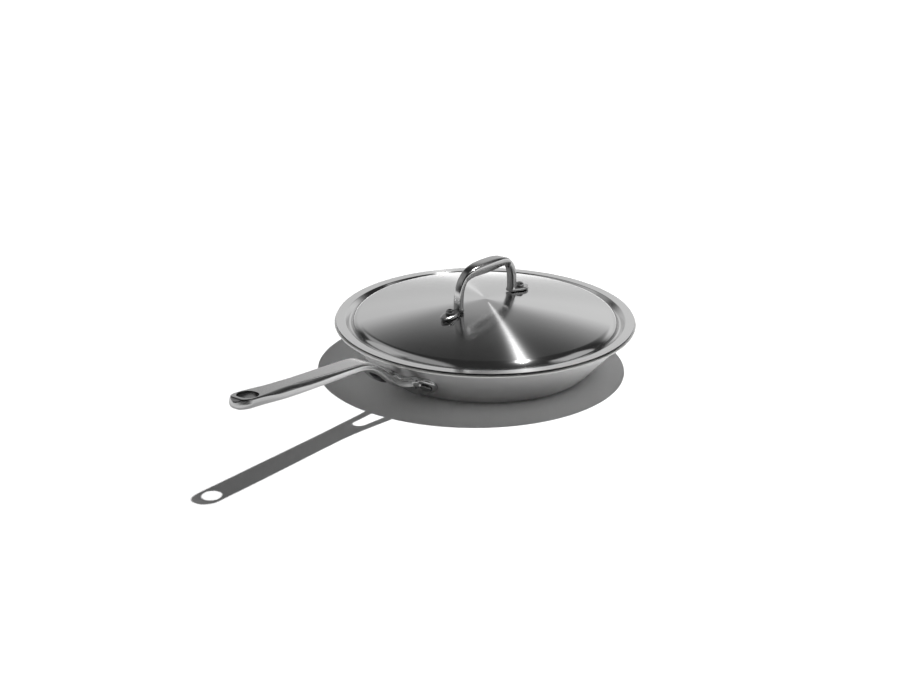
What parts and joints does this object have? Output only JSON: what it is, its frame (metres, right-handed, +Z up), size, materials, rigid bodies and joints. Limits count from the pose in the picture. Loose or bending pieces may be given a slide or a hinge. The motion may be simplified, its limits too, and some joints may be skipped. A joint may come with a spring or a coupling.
{
  "type": "frying pan with lid",
  "caption": "Wide frying pan with sloping walls and a poured rim, a long forked cast handle with a hanging hole, and a domed lift-off lid with a riveted loop handle.",
  "frame": {"origin": "centre of the flat base, on the plane that the pan stands on", "axes": "+X along the pan handle from the centre to the tip, +Z up, +Y to the left seen from the pan's centre towards the handle's tip"},
  "size_m": [0.5628, 0.319, 0.1188],
  "materials": {
    "outer_steel": "satin",
    "core_aluminium": "plain, seen only at the cut rim",
    "inner_steel": "satin",
    "handle_steel": "satin cast",
    "rivet_steel": "polished",
    "lid_steel": "spun",
    "loop_steel": "polished cast"
  },
  "bodies": {
    "pan": {"pan_outer_ply": "outer_steel", "pan_core": "core_aluminium", "pan_inner_ply": "inner_steel", "pan_handle": "handle_steel", "handle_rivet_left": "rivet_steel", "handle_rivet_right": "rivet_steel"},
    "lid": {"lid": "lid_steel", "lid_loop": "loop_steel", "lid_rivet_front": "rivet_steel", "lid_rivet_rear": "rivet_steel"}
  },
  "joints": [
    {"name": "lid_lift", "type": "slide", "parent": "pan", "child": "lid", "axis": [0, 0, 1], "range_m": [0, 0.15]}
  ]
}
